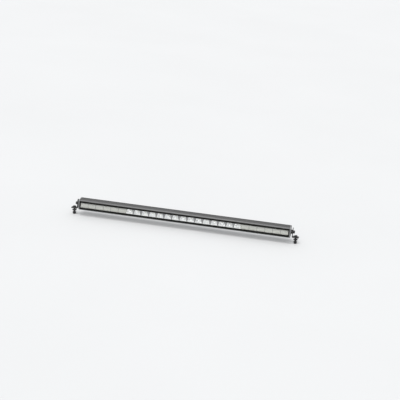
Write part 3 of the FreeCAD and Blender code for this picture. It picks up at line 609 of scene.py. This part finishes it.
# %% Lens material
lens_clear, tree, shader = material("lens_polycarbonate", Transmission_Weight=1.0, IOR=1.585)
haze = place(tree, grain, Scale=800.0, Mottle_Scale=14.0).outputs["Mottle"]
tint = mix_colour(tree, haze, (0.975, 0.98, 0.98), (0.99, 0.995, 0.995))
feed(tree, shader, tint, haze, (0.015, 0.045))
raise_surface(tree, shader, haze, 0.00002, 0.3)
through = group_node(tree, "ShaderNodeBsdfTransparent", (),
                     [("Color", (0.96, 0.965, 0.965, 1.0))])
path = group_node(tree, "ShaderNodeLightPath")
either = group_node(tree, "ShaderNodeMath",
                    [(path.outputs["Is Shadow Ray"], 0), (path.outputs["Is Diffuse Ray"], 1)],
                    operation="MAXIMUM")
pick = group_node(tree, "ShaderNodeMixShader", [
    (either.outputs[0], 0), (shader.outputs["BSDF"], 1), (through.outputs["BSDF"], 2)])
tree.links.new(pick.outputs["Shader"], tree.nodes["Material Output"].inputs["Surface"])
finishes["lens_clear"] = lens_clear
print("lens_clear")

# %% [markdown]
# ## Mirror, frost and light source
#
# The cups are plastic with a skin of aluminium laid on in a vacuum. The skin is a bright satin and
# not a true mirror, so Metallic is only about a half, and the mould's texture softens it further.
# The outer cups are covered by a frosted white sheet, whose flutes spread the light sideways.

# %% Reflector and diffuser materials
mirror, tree, shader = material("reflector_metallised", Metallic=0.55)
waves = place(tree, grain, Scale=3000.0, Mottle_Scale=300.0)
edges = place(tree, edge_wear, Radius=0.0003)
skin = mix_colour(tree, waves.outputs["Mottle"], (0.955, 0.955, 0.955), (0.985, 0.985, 0.985))
feed(tree, shader, skin, waves.outputs["Mottle"], (0.28, 0.36))
raise_surface(tree, shader, waves.outputs["Height"], 0.000004, 0.5, edges.outputs["Normal"])
finishes["reflector_mirror"] = mirror
bright_wall = coated(
    "reflector_bright_wall", grain, (0.955, 0.955, 0.955), (0.985, 0.985, 0.985),
    (0.985, 0.985, 0.985), (0.36, 0.46), 0.000008, edge=0.0002,
    scales={"Scale": 3000.0, "Mottle Scale": 300.0}, wear=0.3, Metallic=0.3)
# Painted shade: the webs' grey stands in for the shade in the corners between the cups.
web_painted_shade = coated(
    "reflector_web_painted_shade", grain, (0.20, 0.20, 0.20), (0.25, 0.25, 0.25),
    (0.34, 0.34, 0.34), (0.40, 0.55), 0.00002, edge=0.0002,
    scales={"Scale": 3000.0, "Mottle Scale": 300.0}, wear=0.3, Metallic=0.3)
finishes["diffuser_frost"] = coated(
    "diffuser_frosted", grain, (0.378, 0.375, 0.343), (0.437, 0.434, 0.397),
    (0.80, 0.80, 0.78), (0.42, 0.58), 0.00003, edge=0.0002,
    scales={"Scale": 2600.0, "Mottle Scale": 70.0}, wear=0.3,
    Specular_IOR_Level=0.4)
# Painted shade: the dark grey of the groove floors stands in for the shade in the gaps between
# cells.
divider_painted_shade = coated(
    "diffuser_divider_painted_shade", grain, (0.06, 0.06, 0.058), (0.09, 0.09, 0.086),
    (0.12, 0.12, 0.12), (0.55, 0.70), 0.00002, edge=0.0001, wear=0.2,
    Specular_IOR_Level=0.3)
print("reflector_mirror, diffuser_frost, divider ink")

# %% [markdown]
# Each light source is a white ceramic square with a yellow phosphor patch under a clear silicone
# dome. Unlit, the phosphor is a pale dusty yellow.

# %% Light source materials
ceramic = coated(
    "led_ceramic", grain, (0.86, 0.86, 0.85), (0.92, 0.92, 0.91), (0.93, 0.93, 0.92),
    (0.40, 0.55), 0.00001, edge=0.0001, scales={"Scale": 9000.0, "Mottle Scale": 900.0},
    wear=0.3)
phosphor = coated(
    "led_phosphor", grain, (0.83, 0.77, 0.55), (0.89, 0.84, 0.65), (0.90, 0.86, 0.70),
    (0.60, 0.75), 0.00002, edge=0.0001, scales={"Scale": 16000.0, "Mottle Scale": 3000.0},
    wear=0.2)
dome, tree, shader = material("led_silicone_dome", Transmission_Weight=1.0, IOR=1.41)
ripple = place(tree, grain, Scale=2500.0, Mottle_Scale=400.0).outputs["Mottle"]
tint = mix_colour(tree, ripple, (0.96, 0.95, 0.92), (0.99, 0.985, 0.97))
feed(tree, shader, tint, ripple, (0.02, 0.08))
finishes["led_emitter"] = ceramic
print("led ceramic, phosphor, dome")

# %% Give every frame node the finish of its slot
for part in frame["record"]["subparts"]:
    for used in nodes[part["node"]].material_slots:
        used.material = finishes[part["material_slot"]]

# %% [markdown]
# ## Floor
#
# One big sheet of pale card at the tips of the foot bolts, which keeps the object's soft shadow. It
# has a breath of tone, so that it isn't a flat colour.

# %% Floor
card, tree, shader = material("studio_card", Specular_IOR_Level=0.2)
fibres = place(tree, grain, Scale=60.0, Mottle_Scale=0.8)
tint = mix_colour(tree, fibres.outputs["Mottle"], (0.50, 0.50, 0.50), (0.53, 0.53, 0.53))
feed(tree, shader, tint, fibres.outputs["Height"], (0.7, 0.85))
floor_half = 40.0
bm = bmesh.new()
bmesh.ops.create_grid(bm, x_segments=8, y_segments=8, size=floor_half,
                      matrix=Matrix.Translation((0, 0, cad_low.z)))
floor = bpy.data.objects.new("floor", bpy.data.meshes.new("floor"))
bm.to_mesh(floor.data)
bm.free()
floor.data.materials.append(card)
scene.collection.objects.link(floor)
print("floor at z =", round(cad_low.z / MM, 1), "mm")

# %% [markdown]
# ## Helper for new pieces
#
# Every modelled piece ends the same way: weld the doubled corners, point the faces outwards, make
# an object at the origin, smooth the curved faces but keep the sharp ones, hang it on the empty of
# the body it rides on, and hide the nodes it stands for.

# %% Finish a piece
def weld(bm):
    """Joins corners that lie in the same place."""
    bmesh.ops.remove_doubles(bm, verts=bm.verts, dist=WELD)


def finish_piece(bm, name, materials, body, replaced, sharp=32.0):
    """Turns a bmesh into a piece of the model. Bends of more than `sharp` degrees stay sharp."""
    weld(bm)
    bmesh.ops.recalc_face_normals(bm, faces=bm.faces)
    open_edges = sum(edge.is_boundary or not edge.is_manifold for edge in bm.edges)
    mesh = bpy.data.meshes.new(name)
    bm.to_mesh(mesh)
    bm.free()
    for used in materials:
        mesh.materials.append(used)
    mesh.shade_smooth()
    mesh.set_sharp_from_angle(angle=math.radians(sharp))
    piece = bpy.data.objects.new(name, mesh)
    scene.collection.objects.link(piece)
    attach(piece, body)
    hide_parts(*replaced)
    print(f"{name}: {len(mesh.polygons)} faces, {open_edges} open edges")


def add_copies(bm, source, places):
    """Fills a bmesh with copies of a source bmesh, each moved to one of the places."""
    stamp = bpy.data.meshes.new("stamp")
    source.to_mesh(stamp)
    for spot in places:
        before = set(bm.verts)
        bm.from_mesh(stamp)
        added = [vert for vert in bm.verts if vert not in before]
        bmesh.ops.translate(bm, verts=added, vec=spot)
    bpy.data.meshes.remove(stamp)


def trim(bm, point, outward):
    """Cuts off whatever lies beyond a plane."""
    everything = bm.verts[:] + bm.edges[:] + bm.faces[:]
    bmesh.ops.bisect_plane(bm, geom=everything, plane_co=point, plane_no=outward, clear_outer=True)


def new_verts(result):
    """The corners among what an operation has just made."""
    return [item for item in result["geom"] if isinstance(item, bmesh.types.BMVert)]


def border(bm):
    """The edges with a face on one side only."""
    return [e for e in bm.edges if e.is_boundary]


def polyline(bm, points, closed=False):
    """Corners joined by edges, in one list that a spin can take."""
    corners = [bm.verts.new(point) for point in points]
    following = corners[1:] + corners[:1] if closed else corners[1:]
    return corners + [bm.edges.new(pair) for pair in zip(corners, following)]


def spin(bm, geom, axis, angle, steps, centre=(0, 0, 0), rise=0.0, merge=False):
    """Sweeps corners and edges round an axis, climbing along it by `rise` at every step."""
    bmesh.ops.spin(bm, geom=geom, cent=centre, axis=axis, dvec=Vector(axis) * rise, angle=angle,
                   steps=steps, use_merge=merge, use_duplicate=False)


print("piece helpers ready")

# %% [markdown]
# ## Reflector cups
#
# Each cup is a paraboloid, cut square at its mouth so that the cups stand in a tight row. One
# half-profile spun about the cup's axis gives the paraboloid. Four planes cut it square, and the
# cut edges are pulled straight forward to the front plane, which makes the flat top and bottom
# walls. The edge is then turned outward into a rim and back into skirts that stand on the board.
# Spinning is better than a grid here, because the mirror then has no seams or kinks.

# %% One cup
cell_pitch = 37.5 * MM
cup_hole = 5.0 * MM
window_half = 11.5 * MM
septum_half = 0.6 * MM
profile_steps, round_steps = 14, 64
MIRROR, WEB_SHADE, WALL, PALE = range(4)  # the order of the finishes on a row of cups
nearly = 0.999  # the share of a distance that counts as having reached it
overshoot = 1.01  # wider than the mouth, so that the cuts pass through the paraboloid


def row_places(count, middle_x, z=0.0):
    """One place for each cell of a row, a cell pitch apart."""
    return [Vector((middle_x + (i - (count - 1) / 2) * cell_pitch, 0, z)) for i in range(count)]


def one_cup(front, back_plane, outer_half):
    """A single cell centred on x = 0, z = 0, open where its neighbours join it."""
    mouth = math.hypot(cell_pitch / 2, window_half)
    steepness = (back_plane - front) / (mouth**2 - cup_hole**2)
    reach = mouth * overshoot
    profile = []
    for step in range(profile_steps + 1):
        radius = cup_hole + (reach - cup_hole) * step / profile_steps
        profile.append((radius, back_plane - steepness * (radius**2 - cup_hole**2), 0.0))
    bm = bmesh.new()
    spin(bm, polyline(bm, profile), (0, 1, 0), math.tau, round_steps, merge=True)
    half_width = cell_pitch / 2 - septum_half
    for sign in (-1, 1):
        trim(bm, (sign * half_width, 0, 0), (sign, 0, 0))
        trim(bm, (0, 0, sign * window_half), (0, 0, sign))
    cut = [e for e in border(bm)
           if all(max(abs(v.co.x) / half_width, abs(v.co.z) / window_half) > nearly
                  for v in e.verts)]
    lip = new_verts(bmesh.ops.extrude_edge_only(bm, edges=cut))
    for vert in lip:
        vert.co.y = front
    for face in {f for v in lip for f in v.link_faces}:
        face.material_index = WALL
    lip_edges = [e for e in bm.edges if e.verts[0] in lip and e.verts[1] in lip]
    rim = new_verts(bmesh.ops.extrude_edge_only(bm, edges=lip_edges))
    bmesh.ops.scale(bm, vec=(cell_pitch / 2 / half_width, 1, outer_half / window_half), verts=rim)
    skirt_edges = [e for e in border(bm)
                   if all(v in rim and abs(v.co.z) > outer_half * nearly for v in e.verts)]
    skirt = new_verts(bmesh.ops.extrude_edge_only(bm, edges=skirt_edges))
    for vert in skirt:
        vert.co.y = back_plane
    close_back(bm, skirt, back_plane)
    return bm


def close_back(bm, skirt, back_plane):
    """The flat back between the skirts, with a round hole where the light source looks in."""
    for side in (-1, 1):
        bm.edges.new([v for v in skirt if v.co.x * side > cell_pitch / 2 * nearly])
    flat_edges = [e for e in bm.edges
                  if (e.is_boundary or e.is_wire)
                  and all(abs(v.co.y - back_plane) < WELD for v in e.verts)]
    bmesh.ops.triangle_fill(bm, edges=flat_edges, normal=(0, 1, 0), use_beauty=True,
                            use_dissolve=False)


row_low, row_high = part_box("reflector_centre")
trial = one_cup(row_low.y, row_high.y, (row_high.z - row_low.z) / 2)
print("one cup:", len(trial.faces), "faces")
trial.free()

# %% [markdown]
# Seen from in front, every open cup looks like a bright bell, narrow above and wide below, because
# the corners between the cups lie in shade. That shade is painted: a grey web fills the gap between
# one cup and the next. One side of a web is an arc: a single point at the web's foot, spun about a
# centre to its right. The centre lies a little below the foot, so that the arc leans outwards from
# the start. The other side is the mirror image, and the outline is filled and pulled back into a
# thin plate. The two ends of the row get half a web each, as pale as the frosted covers beside
# them.

# %% One corner web
web_top_half = 8.9 * MM
web_foot_half = 2.6 * MM
web_lean = math.radians(7.0)
web_thickness = 0.9 * MM
web_clearance = 0.2 * MM  # in front of the cups, and at the two ends of the row
web_steps = 10


def corner_web(front):
    """A plate as tall as the window, on the line between two cups, grey as painted shade."""
    widening = web_top_half - web_foot_half
    chord = math.hypot(widening, 2 * window_half)
    bend = 2 * (math.atan2(widening, 2 * window_half) - web_lean)
    radius = chord / (2 * math.sin(bend / 2))
    centre = (web_foot_half + radius * math.cos(web_lean), 0,
              -window_half - radius * math.sin(web_lean))
    bm = bmesh.new()
    foot = bm.verts.new((web_foot_half, front, -window_half))
    spin(bm, [foot], (0, 1, 0), bend, web_steps, centre)
    bmesh.ops.mirror(bm, geom=bm.verts[:] + bm.edges[:], axis="X", merge_dist=WELD)
    for end in (-1, 1):
        bm.edges.new([v for v in bm.verts if v.co.z * end > window_half * nearly])
    bmesh.ops.triangle_fill(bm, edges=bm.edges[:], normal=(0, -1, 0), use_beauty=True,
                            use_dissolve=False)
    pulled = bmesh.ops.extrude_face_region(bm, geom=bm.faces[:], use_keep_orig=True)
    bmesh.ops.translate(bm, verts=new_verts(pulled), vec=(0, web_thickness, 0))
    bmesh.ops.recalc_face_normals(bm, faces=bm.faces)
    for face in bm.faces:
        face.material_index = WEB_SHADE
    return bm


trial = corner_web(row_low.y)
print("one web:", len(trial.faces), "faces, x to",
      round(max(v.co.x for v in trial.verts) / MM, 2), "mm")
trial.free()

# %% A row of cups for each group
def cup_row(group):
    low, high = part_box(f"reflector_{group}")
    middle, outer_half = (low + high) / 2, (high.z - low.z) / 2
    count = round((high.x - low.x) / cell_pitch)
    cup = one_cup(low.y, high.y, outer_half)
    places = row_places(count, middle.x, middle.z)
    bm = bmesh.new()
    add_copies(bm, cup, places)
    cup.free()
    weld(bm)
    ends = ((-1, low.x), (1, high.x))
    for side, end in ends:
        trim(bm, (end, 0, 0), (side, 0, 0))
        open_end = [e for e in border(bm) if all(abs(v.co.x - end) < NEAR for v in e.verts)]
        bmesh.ops.edgeloop_fill(bm, edges=open_end)
    if group == "centre":
        web = corner_web(low.y - web_clearance)
        add_copies(bm, web, [spot + Vector((cell_pitch / 2, 0, 0)) for spot in places[:-1]])
        for side, end in ends:
            half_web = web.copy()
            trim(half_web, (0, 0, 0), (side, 0, 0))
            bmesh.ops.edgeloop_fill(half_web, edges=border(half_web))
            for face in half_web.faces:
                face.material_index = PALE
            add_copies(bm, half_web, [Vector((end - side * web_clearance, 0, middle.z))])
            half_web.free()
        web.free()
    skins = {MIRROR: mirror, WEB_SHADE: web_painted_shade, WALL: bright_wall, PALE: finishes["diffuser_frost"]}
    finish_piece(bm, f"reflector_cups_{group}", skins.values(), "bar",
                 [f"reflector_{group}"])
    return places


cup_places = {group: cup_row(group) for group in ("left", "centre", "right")}

# %% [markdown]
# ## Fluted covers
#
# The six outer cups at each end wear a frosted cover, which turns their beam into a wide flood.
# Its face is made of upright flutes. An upright edge spun through a shallow arc is one flute;
# copies of it side by side make a cell, and a groove parts one cell from the next. The groove floor
# is dark grey, painted shade for the gap between the cells.

# %% One fluted cell
flutes_per_cell = 14
groove_half = 0.8 * MM
groove_depth = 0.5 * MM
flute_rise = 0.30 * MM
flute_steps = 4
FROST, GROOVE_SHADE = range(2)


def one_fluted_cell(front, z_low, z_high):
    width = (cell_pitch - 2 * groove_half) / flutes_per_cell
    radius = (width**2 / 4 + flute_rise**2) / (2 * flute_rise)
    arc = 2 * math.asin(width / 2 / radius)
    flute = bmesh.new()
    upright = polyline(flute, [(-width / 2, front + flute_rise, z) for z in (z_low, z_high)])
    spin(flute, upright, (0, 0, 1), arc, flute_steps, (0, front + radius, 0))
    cell = bmesh.new()
    first = -cell_pitch / 2 + groove_half + width / 2
    add_copies(cell, flute, [Vector((first + i * width, 0, 0)) for i in range(flutes_per_cell)])
    flute.free()
    weld(cell)
    for side in (-1, 1):
        reach = side * (cell_pitch / 2 - groove_half)
        outermost = [e for e in cell.edges if all(abs(v.co.x - reach) < NEAR for v in e.verts)]
        sunk = bmesh.ops.extrude_edge_only(cell, edges=outermost)
        for vert in new_verts(sunk):
            vert.co.y = front + groove_depth
        floor_edges = [e for e in sunk["geom"] if isinstance(e, bmesh.types.BMEdge)
                       and all(v in new_verts(sunk) for v in e.verts)]
        # The groove floor takes the painted shade of the gap between cells.
        groove_floor = bmesh.ops.extrude_edge_only(cell, edges=floor_edges)
        for vert in new_verts(groove_floor):
            vert.co.x = side * cell_pitch / 2
        for item in groove_floor["geom"]:
            if isinstance(item, bmesh.types.BMFace):
                item.material_index = GROOVE_SHADE
    return cell


# %% A cover for each end
def fluted_cover(side):
    low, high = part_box(f"diffuser_{side}")
    count = round((high.x - low.x) / cell_pitch)
    cell = one_fluted_cell(low.y, low.z, high.z)
    bm = bmesh.new()
    add_copies(bm, cell, row_places(count, (low.x + high.x) / 2))
    cell.free()
    weld(bm)
    trim(bm, (low.x, 0, 0), (-1, 0, 0))
    trim(bm, (high.x, 0, 0), (1, 0, 0))
    rear = bmesh.ops.extrude_face_region(bm, geom=bm.faces[:], use_keep_orig=True)
    for vert in new_verts(rear):
        vert.co.y = high.y
    skins = {FROST: finishes["diffuser_frost"], GROOVE_SHADE: divider_painted_shade}
    finish_piece(bm, f"fluted_cover_{side}", skins.values(), "bar",
                 [f"diffuser_{side}"], sharp=50.0)


for side in ("left", "right"):
    fluted_cover(side)

# %% [markdown]
# ## Light sources
#
# A cube with eased corners is the ceramic base. Its front face is inset, and the inner face is the
# phosphor. Half a sphere, sunk a hair into the base so that no two faces coincide, is the dome.

# %% One light source
led_half = 1.75 * MM
led_thickness = 0.7 * MM
led_corner = 0.3 * MM
phosphor_margin = 0.5 * MM
dome_radius = 1.5 * MM
dome_sunk = 0.05 * MM
CERAMIC, PHOSPHOR, DOME = range(3)


def one_light_source(board_front):
    bm = bmesh.new()
    size = Matrix.Diagonal((2 * led_half, led_thickness, 2 * led_half, 1))
    middle = Matrix.Translation((0, board_front - led_thickness / 2, 0))
    bmesh.ops.create_cube(bm, size=1.0, matrix=middle @ size)
    uprights = [e for e in bm.edges if abs(e.verts[0].co.y - e.verts[1].co.y) > led_thickness / 2]
    bmesh.ops.bevel(bm, geom=uprights, offset=led_corner, offset_type="OFFSET", segments=2,
                    profile=0.5, affect="EDGES", material=-1)
    front = min(bm.faces, key=lambda face: face.calc_center_median().y)
    bmesh.ops.inset_region(bm, faces=[front], thickness=phosphor_margin, depth=0.0,
                           use_even_offset=True)
    front.material_index = PHOSPHOR
    ball = bmesh.ops.create_uvsphere(bm, u_segments=20, v_segments=10, radius=dome_radius,
                                     matrix=Matrix.Translation((0, board_front - led_thickness, 0))
                                     @ Matrix.Rotation(math.radians(90), 4, "X"))["verts"]
    of_ball = set(ball)
    shell = ball + [e for e in bm.edges if e.verts[0] in of_ball]
    shell += [f for f in bm.faces if f.verts[0] in of_ball]
    bmesh.ops.bisect_plane(bm, geom=shell, plane_no=(0, 1, 0), clear_outer=True,
                           plane_co=(0, board_front - led_thickness + dome_sunk, 0))
    bmesh.ops.edgeloop_fill(bm, edges=border(bm))
    for face in bm.faces:
        in_dome = all(v.co.xz.length * nearly < dome_radius for v in face.verts)
        if in_dome and face.material_index == CERAMIC:
            face.material_index = DOME
    return bm


# %% Light sources in each group
for group, places in cup_places.items():
    source = one_light_source(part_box(f"leds_{group}")[1].y)
    bm = bmesh.new()
    add_copies(bm, source, places)
    source.free()
    skins = {CERAMIC: ceramic, PHOSPHOR: phosphor, DOME: dome}
    finish_piece(bm, f"light_sources_{group}", skins.values(), "bar",
                 [f"leds_{group}"], sharp=40.0)

# %% [markdown]
# ## Threaded foot bolts
#
# The frame's bolts have plain shanks, but these two hang in plain sight below the feet. The head
# is kept: a copy of the node's mesh is welded and cut off below the head. The thread is one tooth
# profile spun round the bolt's axis with a small rise at every step, so that each turn lands on
# the end of the one before. The tip is drawn in to a blunt point.

# %% One threaded bolt
thread_pitch = 1.25 * MM
thread_steps = 20
crest_radius = 4.0 * MM
root_radius = 3.35 * MM
tip_height = 0.8 * MM
tip_taper = 0.8
shank_in_head = 0.3 * MM


def thread(bm, tip, top):
    """Adds a right-handed thread about the Z axis, from the tip up to the given height."""
    turns = math.ceil((top - tip) / thread_pitch) + 1
    tooth = ((root_radius, 0.0), (root_radius, 0.24), (crest_radius, 0.53), (crest_radius, 0.69),
             (root_radius, 1.0))
    start = tip - 0.5 * thread_pitch
    profile = polyline(bm, [(radius, 0.0, start + turn * thread_pitch) for radius, turn in tooth])
    spin(bm, profile, (0, 0, 1), math.tau * turns, thread_steps * turns,
         rise=thread_pitch / thread_steps)
    weld(bm)
    trim(bm, (0, 0, top), (0, 0, 1))
    trim(bm, (0, 0, tip + tip_height), (0, 0, -1))
    lower = [e for e in border(bm) if e.verts[0].co.z < tip + 2 * tip_height]
    point = bmesh.ops.extrude_edge_only(bm, edges=lower)
    bmesh.ops.scale(bm, vec=(tip_taper, tip_taper, 1.0), verts=new_verts(point))
    for vert in new_verts(point):
        vert.co.z = tip
    bmesh.ops.edgeloop_fill(bm, edges=border(bm))


def threaded_bolt(side):
    node = f"foot_bolt_{side}"
    low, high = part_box(node)
    head_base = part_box(f"foot_washers_{side}")[1].z
    axis_x = (low.x + high.x) / 2
    shank = bmesh.new()
    thread(shank, low.z, head_base + shank_in_head)
    bm = bmesh.new()
    bm.from_mesh(nodes[node].data)
    weld(bm)
    trim(bm, (0, 0, head_base + NEAR), (0, 0, -1))
    bmesh.ops.holes_fill(bm, edges=border(bm), sides=0)
    add_copies(bm, shank, [Vector((axis_x, 0, 0))])
    shank.free()
    finish_piece(bm, f"threaded_foot_bolt_{side}", [finishes["bolt_black"]], f"{side}_bracket",
                 [node])


for side in ("left", "right"):
    threaded_bolt(side)

# %% [markdown]
# ## Gland nut
#
# The nut that squeezes the cable seal is gripped by hand, so its side is fluted. Its whole
# section, outside and inside, is spun round the gland's axis as one closed ring, and then groups
# of the outer corners are pressed in to make the grips.

# %% Fluted gland nut
nut_low, nut_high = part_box("cable_gland_nut")
nut_x, nut_z = (nut_low.x + nut_high.x) / 2, (nut_low.z + nut_high.z) / 2
nut_radius = (nut_high.x - nut_low.x) / 2
nut_length = nut_high.y - nut_low.y
cable_bore, seal_bore, thread_bore = 3.5 * MM, 5.15 * MM, 6.65 * MM
section = (
    (thread_bore, 0.0), (nut_radius, 0.0), (nut_radius, 0.68), (nut_radius * 0.95, 0.82),
    (nut_radius * 0.82, 0.95), (nut_radius * 0.66, 1.0), (cable_bore, 1.0), (cable_bore, 0.84),
    (seal_bore, 0.82), (seal_bore, 0.38), (thread_bore, 0.37),
)
nut_steps, steps_per_grip, grip_steps = 72, 6, 2
grip_squeeze, outer_share = 0.93, 0.97
bm = bmesh.new()
outline = polyline(
    bm, [(radius, nut_low.y + share * nut_length, 0.0) for radius, share in section], closed=True)
spin(bm, outline, (0, 1, 0), math.tau, nut_steps, merge=True)
for vert in bm.verts:
    step = round(math.atan2(vert.co.z, vert.co.x) / math.tau * nut_steps) % steps_per_grip
    if step < grip_steps and vert.co.xz.length > nut_radius * outer_share:
        vert.co.x *= grip_squeeze
        vert.co.z *= grip_squeeze
bmesh.ops.translate(bm, verts=bm.verts, vec=(nut_x, 0, nut_z))
finish_piece(bm, "fluted_gland_nut", [finishes["gland_nylon"]], "bar",
             ["cable_gland_nut"])
